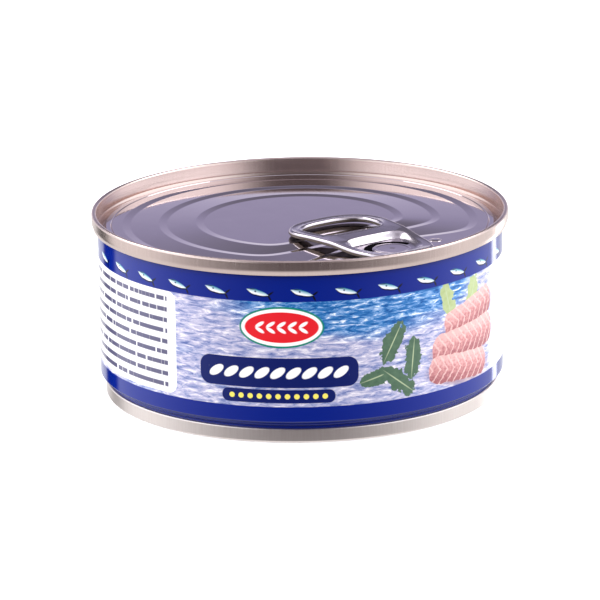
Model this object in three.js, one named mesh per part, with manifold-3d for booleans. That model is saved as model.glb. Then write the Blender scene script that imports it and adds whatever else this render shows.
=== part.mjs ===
// A round tuna can with an easy-open lid: printed body, lid, ring pull and base end.
// The can stands on z = 0 with its axis on Z, and its front faces -Y.
import * as THREE from 'three';
import { mergeVertices } from 'three/addons/utils/BufferGeometryUtils.js';
import Module from 'manifold-3d';

const wasm = await Module();
wasm.setup();

// Whole can, millimetres
const CAN_HEIGHT = 38.5;
const BODY_RADIUS = 42.05;
const LID_SEAM_RADIUS = 43.25;
const LID_SEAM_HEIGHT = 3.1;
const BASE_SEAM_RADIUS = 40.95;
const BASE_SEAM_HEIGHT = 3.0;
const FIT_GAP = 0.3;
const ROUND_SEGMENTS = 72;
const EDGE_STEPS = 3;
const MERGE_DISTANCE = 1e-4;

// Body: a straight wall that necks in above the base seam, with one bead in the neck
const SHOULDER_HEIGHT = 5.6;
const SHOULDER_RADIUS = 0.8;
const NECK_RADIUS = 40.3;
const NECK_BEAD_RADIUS = 41.3;
const NECK_BEAD_HEIGHT = 4.2;
const NECK_BEAD_BEND = 0.4;
const COLLAR_DEPTH = 1.85;
const COLLAR_THICKNESS = 0.5;
const COLLAR_LIP = 0.1;
const COLLAR_FOOT_HEIGHT = 0.7;

// Lid: seam, chuck wall, countersink groove, score line and a panel with three pressed steps
const SEAM_THICKNESS = 1.06;
const SEAM_CREST_STEPS = 6;
const SEAM_CURL_INSET = 0.55;
const SEAM_CURL_EASE = 0.2;
const SEAM_CURL_HEIGHT = 0.25;
const SEAM_BELLY_HEIGHT = 1.2;
const CHUCK_WALL_FOOT_RADIUS = 41.75;
const CHUCK_WALL_DEPTH = 3.0;
const CHUCK_WALL_SHEET = 0.1;
const COUNTERSINK_DEPTH = 4.3;
const COUNTERSINK_RADIUS = 40.85;
const COUNTERSINK_HALF_WIDTH = 0.22;
const LID_SHEET_DEPTH = 4.9;
const LID_SHEET_EDGE = 0.4;
const PANEL_RADIUS = 40.0;
const PANEL_DEPTH = 3.05;
const PANEL_EDGE_BEND = 0.3;
const SCORE_RADIUS = 39.15;
const SCORE_HALF_WIDTH = 0.15;
const SCORE_DEPTH = 0.12;
const STEP_WIDTH = 1.7;
const STEP_DROP = 0.13;
// Each step drops inwards and the zone inside it rises again; its line is a circle cut by a chord
// on the ring pull's side, and flare tilts the chord's two halves
const PANEL_STEPS = [
  { radius: 36.0, chord: 22.0, flare: 0.28, rise: 0.24 },
  { radius: 28.4, chord: 18.4, flare: 0.03, rise: 0.32 },
  { radius: 20.7, chord: 13.5, flare: 0, rise: 0.06 },
];
const STEP_CORNER_POWER = 14;

// Ring pull: its length lies on a radius of the can, s outwards from the can's axis and t across
const PULL_AZIMUTH = THREE.MathUtils.degToRad(-53.6);
const PULL_OUTLINE = {
  start: 5.6, widest: 14.5, end: 38.0, halfWidth: 10.9, startPower: 2.6, endPower: 6, taper: 2.9, points: 72,
};
const FINGER_HOLE = {
  start: 8.5, widest: 13.5, end: 19.8, halfWidth: 8.0, startPower: 2.6, endPower: 4, taper: 0.4, points: 48,
};
const POCKET_FLOOR = {
  start: 25.4, widest: 30.45, end: 35.5, halfWidth: 5.7, startPower: 3, endPower: 3, taper: 0.8, points: 36,
};
const POCKET_FLOOR_DEPTH = 2.5;
const POCKET_WALL_RUN = 1.5;
const PULL_THICKNESS = 1.1;
const PULL_BLANK_WIDTH = 26;
// Depth of the ring pull's upper face below the seam's crest, along s
const PULL_BEND = [
  [4, 1.3],
  [8, 1.3],
  [13, 1.1],
  [18, 0.95],
  [22, 1.02],
  [26, 1.45],
  [30, 1.65],
  [39, 1.65],
];
const PULL_BEND_POINTS = 28;

// Rivet that holds the ring pull, and the slot that frees the tongue round it
const RIVET_PLACE = 31.4;
const RIVET_SHANK_RADIUS = 2.2;
const RIVET_HEAD_RADIUS = 3.7;
const RIVET_HEAD_DEPTH = 2.1;
const RIVET_HEAD_THICKNESS = 0.28;
const RIVET_EDGE = 0.12;
const RIVET_ROOT = 0.5;
const RIVET_SEGMENTS = 32;
const SLOT_INNER_RADIUS = 4.1;
const SLOT_OUTER_RADIUS = 5.5;
const SLOT_HALF_ANGLE = THREE.MathUtils.degToRad(80);

// Two low domes on the panel that keep the ring pull from turning
const STOP_PLACE = 30.0;
const STOP_OFFSET = 12.2;
const STOP_RADIUS = 1.5;
const STOP_HEIGHT = 0.2;
const STOP_SEGMENTS = 20;
const STOP_ROWS = 12;

// Base end: a seam to stand on, a countersink groove and a panel with one step
const STAND_INNER_RADIUS = 39.5;
const STAND_OUTER_RADIUS = 40.35;
const STAND_EDGE_INSET = 0.3;
const STAND_EDGE_HEIGHT = 0.6;
const BASE_SEAM_EDGE = 0.45;
const BASE_COLLAR_RADIUS = 39.15;
const BASE_SHEET_HEIGHT = 4.6;
const BASE_GROOVE_RADIUS = 38.6;
const BASE_GROOVE_HEIGHT = 4.1;
const BASE_GROOVE_HALF_WIDTH = 0.25;
const BASE_PANEL_RADIUS = 37.6;
const BASE_PANEL_HEIGHT = 3.2;
const BASE_STEP_RADIUS = 30.0;
const BASE_STEP_RISE = 0.4;

// Colours of the plain solids
const PRINT_FINISH = { color: 0x0b2a86, roughness: 0.3, metalness: 0.2 };
const LID_FINISH = { color: 0xb9b2bf, roughness: 0.25, metalness: 1 };
const PULL_FINISH = { color: 0xc6bfcb, roughness: 0.2, metalness: 1 };
const BASE_FINISH = { color: 0xc8bcb4, roughness: 0.35, metalness: 1 };

const SEAM_FOOT = CAN_HEIGHT - LID_SEAM_HEIGHT;

// Points of an arc in a profile, from one angle to another in degrees
function arc(radius, height, bend, from, to, steps) {
  const points = [];
  for (let i = 0; i <= steps; i += 1) {
    const angle = THREE.MathUtils.degToRad(from + ((to - from) * i) / steps);
    points.push([radius + bend * Math.cos(angle), height + bend * Math.sin(angle)]);
  }
  return points;
}

// Turns a profile of [radius, height] points into a solid of revolution about Z
function turned(profile, segments = ROUND_SEGMENTS) {
  const points = profile.map(([radius, height]) => new THREE.Vector2(radius, height));
  return new THREE.LatheGeometry(points, segments).rotateX(Math.PI / 2);
}

// Point at an angle on an outline that is fullest at one place and rounds off at both ends
function outlinePoint(angle, { start, widest, end, halfWidth, startPower, endPower, taper }) {
  const along = Math.cos(angle);
  const across = Math.sin(angle);
  const power = along < 0 ? startPower : endPower;
  const size = (Math.abs(along) ** power + Math.abs(across) ** power) ** (-1 / power);
  const reach = along < 0 ? widest - start : end - widest;
  const narrowing = taper * Math.max(0, size * along);
  return new THREE.Vector2(widest + reach * size * along, (halfWidth - narrowing) * size * across);
}

function outlineShape(form) {
  const points = [];
  for (let i = 0; i < form.points; i += 1) {
    points.push(outlinePoint((2 * Math.PI * i) / form.points, form));
  }
  return new THREE.Shape(points);
}

// Straight prism of a shape between two heights
function prism(shape, bottom, top) {
  const geometry = new THREE.ExtrudeGeometry(shape, { depth: top - bottom, bevelEnabled: false });
  return geometry.translate(0, 0, bottom);
}

// Closed solid for joining and cutting, made from a geometry's merged vertices
function solid(geometry) {
  geometry.deleteAttribute('normal');
  geometry.deleteAttribute('uv');
  const merged = mergeVertices(geometry, MERGE_DISTANCE);
  const corners = merged.index.array;
  const triangles = [];
  for (let i = 0; i < corners.length; i += 3) {
    const [a, b, c] = [corners[i], corners[i + 1], corners[i + 2]];
    if (a !== b && b !== c && c !== a) triangles.push(a, b, c);
  }
  return new wasm.Manifold(new wasm.Mesh({
    numProp: 3,
    vertProperties: merged.attributes.position.array,
    triVerts: new Uint32Array(triangles),
  }));
}

function geometryOf(manifold) {
  const mesh = manifold.getMesh();
  const geometry = new THREE.BufferGeometry();
  geometry.setAttribute('position', new THREE.BufferAttribute(mesh.vertProperties, 3));
  geometry.setIndex(new THREE.BufferAttribute(mesh.triVerts, 1));
  geometry.computeVertexNormals();
  return geometry;
}

function piece(name, geometry, finish) {
  const mesh = new THREE.Mesh(geometry, new THREE.MeshStandardMaterial(finish));
  mesh.name = name;
  return mesh;
}

// Printed body, solid inside, with a thin collar that rises to the lid's seam
function bodyGeometry() {
  const top = SEAM_FOOT - FIT_GAP;
  const floor = top - COLLAR_DEPTH;
  const inner = BASE_COLLAR_RADIUS + FIT_GAP;
  const foot = BASE_SEAM_HEIGHT + FIT_GAP;
  return turned([
    [0, BASE_SHEET_HEIGHT + FIT_GAP],
    [inner, BASE_SHEET_HEIGHT + FIT_GAP],
    [inner, foot],
    [NECK_RADIUS, foot],
    ...arc(NECK_BEAD_RADIUS - NECK_BEAD_BEND, NECK_BEAD_HEIGHT, NECK_BEAD_BEND, -60, 0, EDGE_STEPS),
    ...arc(BODY_RADIUS - SHOULDER_RADIUS, SHOULDER_HEIGHT, SHOULDER_RADIUS, -60, 0, EDGE_STEPS),
    [BODY_RADIUS, top],
    [BODY_RADIUS - COLLAR_LIP, top],
    [BODY_RADIUS - COLLAR_THICKNESS, floor + COLLAR_FOOT_HEIGHT],
    [BODY_RADIUS - COLLAR_THICKNESS, floor],
    [0, floor],
  ]);
}

// Pulls one row of panel points from a circle to the step's cut-off circle
function stepRadius(radius, azimuth, step) {
  const lean = Math.cos(azimuth) - step.flare * Math.abs(Math.sin(azimuth));
  if (lean <= 0) return radius;
  const line = (step.chord + radius - step.radius) / lean;
  return (radius ** -STEP_CORNER_POWER + line ** -STEP_CORNER_POWER) ** (-1 / STEP_CORNER_POWER);
}

function pressPanelSteps(geometry) {
  const places = geometry.attributes.position;
  for (let i = 0; i < places.count; i += 1) {
    const x = places.getX(i);
    const y = places.getY(i);
    const radius = Math.hypot(x, y);
    const step = PANEL_STEPS.find((each) => Math.abs(each.radius - radius) < STEP_WIDTH);
    if (step) {
      const scale = stepRadius(radius, Math.atan2(y, x) - PULL_AZIMUTH, step) / radius;
      places.setXY(i, x * scale, y * scale);
    }
  }
  return geometry;
}

function lidGeometry() {
  const panel = CAN_HEIGHT - PANEL_DEPTH;
  const groove = CAN_HEIGHT - COUNTERSINK_DEPTH;
  const sheet = CAN_HEIGHT - LID_SHEET_DEPTH;
  const crest = SEAM_THICKNESS / 2;
  const inner = BODY_RADIUS - COLLAR_THICKNESS - FIT_GAP;
  const steps = [];
  let level = panel;
  for (const { radius, rise } of PANEL_STEPS) {
    steps.push([radius + STEP_WIDTH / 2, level]);
    steps.push([radius - STEP_WIDTH / 2, level - STEP_DROP]);
    level += rise - STEP_DROP;
  }
  return pressPanelSteps(turned([
    [0, sheet],
    [inner, sheet],
    [inner, sheet + LID_SHEET_EDGE],
    [CHUCK_WALL_FOOT_RADIUS + CHUCK_WALL_SHEET, SEAM_FOOT],
    [LID_SEAM_RADIUS - SEAM_CURL_INSET, SEAM_FOOT],
    [LID_SEAM_RADIUS - SEAM_CURL_EASE, SEAM_FOOT + SEAM_CURL_HEIGHT],
    [LID_SEAM_RADIUS, SEAM_FOOT + SEAM_BELLY_HEIGHT],
    ...arc(LID_SEAM_RADIUS - crest, CAN_HEIGHT - crest, crest, 0, 180, SEAM_CREST_STEPS),
    [CHUCK_WALL_FOOT_RADIUS, CAN_HEIGHT - CHUCK_WALL_DEPTH],
    [COUNTERSINK_RADIUS + COUNTERSINK_HALF_WIDTH, groove],
    [COUNTERSINK_RADIUS - COUNTERSINK_HALF_WIDTH, groove],
    ...arc(PANEL_RADIUS, panel - PANEL_EDGE_BEND, PANEL_EDGE_BEND, 0, 90, EDGE_STEPS),
    [SCORE_RADIUS + SCORE_HALF_WIDTH, panel],
    [SCORE_RADIUS, panel - SCORE_DEPTH],
    [SCORE_RADIUS - SCORE_HALF_WIDTH, panel],
    ...steps,
    [0, level],
  ]));
}

// Rivet raised from the panel, with a flat head over the ring pull's tongue
function rivetGeometry() {
  const foot = CAN_HEIGHT - PANEL_DEPTH - RIVET_ROOT;
  const top = CAN_HEIGHT - RIVET_HEAD_DEPTH;
  const underHead = top - RIVET_HEAD_THICKNESS;
  return turned([
    [0, foot],
    [RIVET_SHANK_RADIUS, foot],
    [RIVET_SHANK_RADIUS, underHead],
    [RIVET_HEAD_RADIUS, underHead],
    [RIVET_HEAD_RADIUS, top - RIVET_EDGE],
    [RIVET_HEAD_RADIUS - 2 * RIVET_EDGE, top],
    [0, top],
  ], RIVET_SEGMENTS).translate(RIVET_PLACE, 0, 0);
}

function stopGeometry(side) {
  return new THREE.SphereGeometry(STOP_RADIUS, STOP_SEGMENTS, STOP_ROWS)
    .rotateX(Math.PI / 2)
    .scale(1, 1, STOP_HEIGHT / STOP_RADIUS)
    .translate(STOP_PLACE, side * STOP_OFFSET, CAN_HEIGHT - PANEL_DEPTH);
}

function lidWithRivet() {
  let lid = solid(lidGeometry());
  for (const detail of [rivetGeometry(), stopGeometry(1), stopGeometry(-1)]) {
    lid = lid.add(solid(detail.rotateZ(PULL_AZIMUTH)));
  }
  return geometryOf(lid);
}

// Bent sheet of the ring pull seen from its side, drawn out across its width
function bentSheet() {
  const upper = new THREE.SplineCurve(
    PULL_BEND.map(([s, depth]) => new THREE.Vector2(s, CAN_HEIGHT - depth)),
  ).getPoints(PULL_BEND_POINTS);
  const lower = upper.map(({ x, y }) => new THREE.Vector2(x, y - PULL_THICKNESS)).reverse();
  const section = new THREE.Shape([...upper, ...lower]);
  return new THREE.ExtrudeGeometry(section, { depth: PULL_BLANK_WIDTH, bevelEnabled: false })
    .rotateX(Math.PI / 2)
    .translate(0, PULL_BLANK_WIDTH / 2, 0);
}

// Dish round the rivet: flat floor and sloping walls, drawn as the solid that cuts it
function pocketCutter() {
  const wallHeight = POCKET_FLOOR_DEPTH - PULL_BEND.at(-1)[1];
  const settings = {
    depth: PULL_THICKNESS,
    bevelThickness: wallHeight,
    bevelSize: POCKET_WALL_RUN,
    bevelSegments: 1,
  };
  return new THREE.ExtrudeGeometry(outlineShape(POCKET_FLOOR), settings)
    .translate(0, 0, CAN_HEIGHT - POCKET_FLOOR_DEPTH + wallHeight);
}

// Slot on the ring side of the rivet
function slotShape() {
  const from = Math.PI - SLOT_HALF_ANGLE;
  const to = Math.PI + SLOT_HALF_ANGLE;
  const shape = new THREE.Shape();
  shape.absarc(RIVET_PLACE, 0, SLOT_OUTER_RADIUS, from, to, false);
  shape.absarc(RIVET_PLACE, 0, SLOT_INNER_RADIUS, to, from, true);
  return shape;
}

// Ring pull: the bent sheet trimmed to its outline, with its holes and pocket cut out
function ringPullGeometry() {
  const rivetHole = new THREE.Shape();
  rivetHole.absarc(RIVET_PLACE, 0, RIVET_SHANK_RADIUS + FIT_GAP, 0, 2 * Math.PI, false);
  const low = CAN_HEIGHT - LID_SHEET_DEPTH;
  const high = CAN_HEIGHT + PULL_THICKNESS;
  let sheet = solid(bentSheet()).intersect(solid(prism(outlineShape(PULL_OUTLINE), low, high)));
  for (const opening of [outlineShape(FINGER_HOLE), rivetHole, slotShape()]) {
    sheet = sheet.subtract(solid(prism(opening, low, high)));
  }
  return geometryOf(sheet.subtract(solid(pocketCutter())));
}

function baseGeometry() {
  const step = STEP_WIDTH / 2;
  const bend = BASE_SEAM_RADIUS - STAND_OUTER_RADIUS;
  return turned([
    [0, BASE_PANEL_HEIGHT - BASE_STEP_RISE],
    [BASE_STEP_RADIUS - step, BASE_PANEL_HEIGHT - BASE_STEP_RISE],
    [BASE_STEP_RADIUS + step, BASE_PANEL_HEIGHT],
    [BASE_PANEL_RADIUS, BASE_PANEL_HEIGHT],
    [BASE_GROOVE_RADIUS - BASE_GROOVE_HALF_WIDTH, BASE_GROOVE_HEIGHT],
    [BASE_GROOVE_RADIUS + BASE_GROOVE_HALF_WIDTH, BASE_GROOVE_HEIGHT],
    [STAND_INNER_RADIUS - STAND_EDGE_INSET, STAND_EDGE_HEIGHT],
    [STAND_INNER_RADIUS, 0],
    ...arc(STAND_OUTER_RADIUS, bend, bend, -90, 0, EDGE_STEPS),
    [BASE_SEAM_RADIUS, BASE_SEAM_HEIGHT - BASE_SEAM_EDGE],
    [BASE_SEAM_RADIUS - BASE_SEAM_EDGE, BASE_SEAM_HEIGHT],
    [BASE_COLLAR_RADIUS, BASE_SEAM_HEIGHT],
    [BASE_COLLAR_RADIUS, BASE_SHEET_HEIGHT],
    [0, BASE_SHEET_HEIGHT],
  ]);
}

const can = new THREE.Group();
can.add(piece('can_body', bodyGeometry(), PRINT_FINISH));
can.add(piece('lid', lidWithRivet(), LID_FINISH));
can.add(piece('base_end', baseGeometry(), BASE_FINISH));
const pullPlace = new THREE.Group();
pullPlace.rotation.z = PULL_AZIMUTH;
pullPlace.add(piece('ring_pull', ringPullGeometry(), PULL_FINISH));
can.add(pullPlace);

export default can;
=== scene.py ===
from math import atan2, cos, hypot, pi, radians, sin, tan

import bmesh
import bpy
from mathutils import Matrix, Vector


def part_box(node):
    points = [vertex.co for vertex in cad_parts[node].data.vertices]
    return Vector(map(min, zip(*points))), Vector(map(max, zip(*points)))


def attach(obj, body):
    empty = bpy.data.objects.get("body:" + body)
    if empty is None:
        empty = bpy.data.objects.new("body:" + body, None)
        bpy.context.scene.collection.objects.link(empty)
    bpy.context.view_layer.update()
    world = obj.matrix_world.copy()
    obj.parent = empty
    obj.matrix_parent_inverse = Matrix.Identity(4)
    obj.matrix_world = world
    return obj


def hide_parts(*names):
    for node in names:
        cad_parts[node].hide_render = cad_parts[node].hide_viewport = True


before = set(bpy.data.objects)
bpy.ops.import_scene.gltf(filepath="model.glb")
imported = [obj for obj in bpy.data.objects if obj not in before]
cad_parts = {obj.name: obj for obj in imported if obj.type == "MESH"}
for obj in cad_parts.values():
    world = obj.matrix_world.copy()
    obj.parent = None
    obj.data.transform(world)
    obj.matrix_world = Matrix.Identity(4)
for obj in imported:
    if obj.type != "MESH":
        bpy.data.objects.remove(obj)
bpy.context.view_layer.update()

# Sizes in millimetres, from the frame and from the can itself
MM = 0.001
CAN_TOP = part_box("lid")[1].z / MM
LID_SEAM_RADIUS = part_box("lid")[1].x / MM
BODY_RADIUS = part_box("can_body")[1].x / MM
BASE_SEAM_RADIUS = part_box("base_end")[1].x / MM
SPIN_STEPS = 240
CORNER_STEPS = 6
SMOOTH_ANGLE = radians(50)
MERGE_DISTANCE = 0.002 * MM

# The printed wall and its necked foot, as heights above the ground
LID_SEAM_FOOT = CAN_TOP - 3.1
BASE_SEAM_TOP = 3.0
WALL_FLOOR = 4.9
SLEEVE_RADIUS = 39.45
NECK_RADIUS = 40.3
NECK_TOP = 3.5
NECK_BEND = 0.1
BEAD_RADIUS = 41.15
BEAD_HEIGHT = 3.85
BEAD_BEND = 0.25
CREASE_RADIUS = 41.0
CREASE_HEIGHT = 4.35
CREASE_BEND = 0.15
SHOULDER = 4.65
SHOULDER_BEND = 0.35
STRAIGHT_FOOT = 7.4
COLLAR_LIP = 0.05
COLLAR_HEIGHT = 1.0
COLLAR_FOOT_RADIUS = 41.0
TUCK = 0.12

# The lid, as depths below the seam's crest
SEAM_THICKNESS = 1.06
SEAM_CREST = 0.3
SEAM_CREST_FLAT = 0.03
SEAM_HOOK_RADIUS = 41.9
SEAM_CURL_INSET = 0.32
SEAM_CURL_BEND = 0.22
SEAM_BELLY_HEIGHT = 1.0
SEAM_BELLY_BEND = 2.0
CHUCK_WALL_LEAN = 0.2
CHUCK_WALL_BEND = 0.12
GROOVE_DEPTH = 4.4
GROOVE_OUTER_RADIUS = 41.3
GROOVE_INNER_RADIUS = 40.6
GROOVE_BEND = 0.15
PANEL_DEPTH = 3.05
PANEL_RADIUS = 40.25
PANEL_FINISH_OVERLAP = 0.1
SCORE_RADIUS = 39.15
SCORE_HALF_WIDTH = 0.16
SCORE_DEPTH = 0.14
SCORE_EDGE_BEND = 0.04
SCORE_ROOT_BEND = 0.05
LID_SHEET_DEPTH = 4.9
LID_SHEET_RADIUS = 41.3
LID_SHEET_EDGE = 0.3
FOOD_GAP = 0.4
STEP_WIDTH = 1.7
STEP_DROP = 0.13
STEP_EASE = 3.0
STEP_CORNER_POWER = 14
PANEL_STEPS = [
    {"radius": 36.0, "chord": 22.0, "flare": 0.28, "rise": 0.24},
    {"radius": 28.4, "chord": 18.4, "flare": 0.03, "rise": 0.32},
    {"radius": 20.7, "chord": 13.5, "flare": 0.0, "rise": 0.06},
]

# The base end, as heights above the ground
BASE_CENTRE_HEIGHT = 2.8
BASE_STEP_RADII = (29.2, 30.8)
BASE_STEP_EASE = 1.5
BASE_PANEL_HEIGHT = 3.2
BASE_PANEL_RADIUS = 37.5
BASE_PANEL_BEND = 0.4
BASE_GROOVE_HEIGHT = 4.1
BASE_GROOVE_RADII = (38.3, 38.9)
BASE_GROOVE_BEND = 0.2
BASE_GROOVE_EDGE = 38.95
STAND_RADIUS = 39.5
STAND_INNER_BEND = 0.35
STAND_OUTER_BEND = 0.5
BASE_SEAM_BEND = 0.35
BASE_COLLAR_RADIUS = 39.15
BASE_SHEET_HEIGHT = 4.6

# The ring pull: s runs outwards from the can's axis along the pull, t across it
PULL_AZIMUTH = radians(-53.6)
PULL_ALONG = Vector((cos(PULL_AZIMUTH), sin(PULL_AZIMUTH)))
PULL_ACROSS = Vector((-sin(PULL_AZIMUTH), cos(PULL_AZIMUTH)))
PULL_OUTLINE = {
    "start": 5.6, "widest": 14.5, "end": 38.0, "half": 10.9,
    "powers": (2.6, 6.0), "taper": 2.9, "points": 176,
}
FINGER_HOLE = {
    "start": 8.5, "widest": 13.5, "end": 19.8, "half": 8.0,
    "powers": (2.6, 4.0), "taper": 0.4, "points": 136,
}
POCKET_RIM = {
    "start": 23.6, "widest": 27.0, "end": 36.5, "half": 7.6,
    "powers": (3.4, 4.0), "taper": 1.7, "points": 112,
}
ROLL_RADIUS = 0.6
ROLL_START_ANGLE = -90
ROLL_INNER_ANGLE = 120
ROLL_STEP = 15
PULL_RING_DEPTH = 1.3
PULL_ARCH = 0.35
PULL_ARCH_RUN = (8, 18)
PULL_NOSE_DROP = 0.7
PULL_NOSE_RUN = (22, 31)
POCKET_WALL_RUN = 1.7
POCKET_WALL_STEPS = 8
POCKET_FLOOR_DEPTH = 2.5
RIVET_PLACE = 31.4
RIVET_RADIUS = 3.9
RIVET_DEPTH = 2.35
RIVET_THICKNESS = 0.12
RIVET_SHANK_RADIUS = 2.2
RIVET_EDGE_BEND = 0.08
RIVET_RIM_INSETS = (0.5, 0.8)
RIVET_RIM_DROP = 0.04
RIVET_DIMPLE_RADII = (0.6, 0.3)
RIVET_DIMPLE_DROP = 0.1
RIVET_DIMPLE_BEND = 0.05
RIVET_BEND = 0.1
SLOT_RADII = (4.1, 5.75)
SLOT_HALF_ANGLE = radians(80)
SLOT_DEPTH = 0.3
SLOT_POINTS = 32
UNDERSIDE_FACING = 0.15
STOP_PLACE = (30.0, 12.2)
STOP_RADIUS = 1.5
STOP_HEIGHT = 0.2
STOP_FLANK_SHARES = (0.8, 0.5)
STOP_FLANK_BEND = 0.3
STOP_CROWN_SHARE = 0.4
STOP_CROWN_BEND = 0.8


# Modelling

def rounded(corners):
    """Points of a profile whose corners, given as radius, height and rounding, become arcs."""
    points = []
    for i, (radius, height, rounding) in enumerate(corners):
        corner = Vector((radius, height))
        if not rounding:
            points.append(corner)
            continue
        towards_last = (Vector(corners[i - 1][:2]) - corner).normalized()
        towards_next = (Vector(corners[i + 1][:2]) - corner).normalized()
        half = towards_last.angle(towards_next) / 2
        centre = corner + (towards_last + towards_next).normalized() * rounding / sin(half)
        first = corner + towards_last * rounding / tan(half) - centre
        side = 1 if first.cross(corner - centre) > 0 else -1
        sweep = side * (pi - 2 * half)
        for step in range(CORNER_STEPS + 1):
            points.append(centre + Matrix.Rotation(sweep * step / CORNER_STEPS, 2) @ first)
    return points


def begin_piece(name):
    """Starts a piece as a single point at the origin, in edit mode."""
    bpy.ops.object.select_all(action="DESELECT")
    bpy.ops.mesh.primitive_plane_add(size=MM)
    piece = bpy.context.active_object
    piece.name = name
    piece.data.name = name
    bpy.ops.object.mode_set(mode="EDIT")
    bpy.ops.mesh.merge(type="CENTER")
    return piece


def spin_profile(name, profile):
    """Draws a profile point by point beside the can's axis and spins it into a piece."""
    piece = begin_piece(name)
    at = Vector((0.0, 0.0))
    for i, point in enumerate(profile):
        step = (point - at) * MM
        move = {"value": (step.x, 0.0, step.y)}
        if i == 0:
            bpy.ops.transform.translate(**move)
        else:
            bpy.ops.mesh.extrude_vertices_move(TRANSFORM_OT_translate=move)
        at = point
    bpy.ops.mesh.select_all(action="SELECT")
    bpy.ops.mesh.spin(steps=SPIN_STEPS, angle=2 * pi, center=(0, 0, 0), axis=(0, 0, 1))
    close_piece()
    return piece


def close_piece():
    """Merges doubled points, turns all faces outwards and leaves edit mode."""
    bpy.ops.mesh.select_all(action="SELECT")
    bpy.ops.mesh.remove_doubles(threshold=MERGE_DISTANCE)
    bpy.ops.mesh.normals_make_consistent(inside=False)
    bpy.ops.object.mode_set(mode="OBJECT")


def dress(piece, slot, *materials):
    """Smooths a piece's shading, keeps its flat faces flat, and gives it its finish and its body."""
    bpy.ops.object.select_all(action="DESELECT")
    piece.select_set(True)
    bpy.context.view_layer.objects.active = piece
    bpy.ops.object.shade_smooth_by_angle(angle=SMOOTH_ANGLE)
    bpy.ops.object.modifier_add(type="WEIGHTED_NORMAL")
    piece.modifiers[-1].keep_sharp = True
    bpy.ops.object.modifier_apply(modifier=piece.modifiers[-1].name)
    for material in materials:
        piece.data.materials.append(material)
    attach(piece, "root")


def wall_piece():
    """Printed wall: straight, with a rolled shoulder and one bead above the base seam."""
    ceiling = CAN_TOP - LID_SHEET_DEPTH - FOOD_GAP
    return spin_profile("wall", rounded([
        (0, WALL_FLOOR, 0),
        (SLEEVE_RADIUS, WALL_FLOOR, 0),
        (SLEEVE_RADIUS, BASE_SEAM_TOP - TUCK, 0),
        (NECK_RADIUS, BASE_SEAM_TOP - TUCK, 0),
        (NECK_RADIUS, NECK_TOP, NECK_BEND),
        (BEAD_RADIUS, BEAD_HEIGHT, BEAD_BEND),
        (CREASE_RADIUS, CREASE_HEIGHT, CREASE_BEND),
        (BODY_RADIUS, SHOULDER, SHOULDER_BEND),
        (BODY_RADIUS, STRAIGHT_FOOT, 0),
        (BODY_RADIUS, LID_SEAM_FOOT + TUCK, 0),
        (BODY_RADIUS - COLLAR_LIP, LID_SEAM_FOOT + TUCK, 0),
        (BODY_RADIUS - 2 * COLLAR_LIP, LID_SEAM_FOOT - COLLAR_HEIGHT, 0),
        (COLLAR_FOOT_RADIUS, ceiling, 0),
        (0, ceiling, 0),
    ]))


def step_radius(radius, azimuth, step):
    """Radius of a step's line at an azimuth from the pull: a circle cut by a flared chord."""
    lean = cos(azimuth) - step["flare"] * abs(sin(azimuth))
    if lean <= 0:
        return radius
    chord = (step["chord"] + radius - step["radius"]) / lean
    return (radius ** -STEP_CORNER_POWER + chord ** -STEP_CORNER_POWER) ** (-1 / STEP_CORNER_POWER)


def press_panel_steps(lid):
    """Moves the panel's step rings in to the line of the cut-off circles round the pull."""
    for point in lid.data.vertices:
        radius = hypot(point.co.x, point.co.y) / MM
        for step in PANEL_STEPS:
            if abs(radius - step["radius"]) < STEP_WIDTH:
                azimuth = atan2(point.co.y, point.co.x) - PULL_AZIMUTH
                pressed = step_radius(radius, azimuth, step) / radius
                point.co.x *= pressed
                point.co.y *= pressed
                break


def lid_piece():
    """Easy-open end: seam, chuck wall, countersink groove, score line and stepped panel."""
    crest = SEAM_THICKNESS / 2 - SEAM_CREST_FLAT
    inner = LID_SEAM_RADIUS - SEAM_THICKNESS
    foot = CAN_TOP - LID_SEAM_FOOT
    corners = [
        (0, LID_SHEET_DEPTH, 0),
        (LID_SHEET_RADIUS, LID_SHEET_DEPTH, 0),
        (LID_SHEET_RADIUS, LID_SHEET_DEPTH - LID_SHEET_EDGE, 0),
        (SEAM_HOOK_RADIUS, foot, 0),
        (LID_SEAM_RADIUS - SEAM_CURL_INSET, foot, SEAM_CURL_BEND),
        (LID_SEAM_RADIUS, foot - SEAM_BELLY_HEIGHT, SEAM_BELLY_BEND),
        (LID_SEAM_RADIUS, 0, crest),
        (inner, 0, crest),
        (inner - CHUCK_WALL_LEAN, PANEL_DEPTH, CHUCK_WALL_BEND),
        (GROOVE_OUTER_RADIUS, GROOVE_DEPTH, GROOVE_BEND),
        (GROOVE_INNER_RADIUS, GROOVE_DEPTH, GROOVE_BEND),
        (PANEL_RADIUS, PANEL_DEPTH, GROOVE_BEND),
        (SCORE_RADIUS + SCORE_HALF_WIDTH, PANEL_DEPTH, SCORE_EDGE_BEND),
        (SCORE_RADIUS, PANEL_DEPTH + SCORE_DEPTH, SCORE_ROOT_BEND),
        (SCORE_RADIUS - SCORE_HALF_WIDTH, PANEL_DEPTH, SCORE_EDGE_BEND),
    ]
    depth = PANEL_DEPTH
    for step in PANEL_STEPS:
        corners.append((step["radius"] + STEP_WIDTH / 2, depth, STEP_EASE))
        corners.append((step["radius"] - STEP_WIDTH / 2, depth + STEP_DROP, STEP_EASE))
        depth += STEP_DROP - step["rise"]
    corners.append((0, depth, 0))
    lid = spin_profile("lid_end", [Vector((r, CAN_TOP - d)) for r, d in rounded(corners)])
    press_panel_steps(lid)
    return lid


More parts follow.
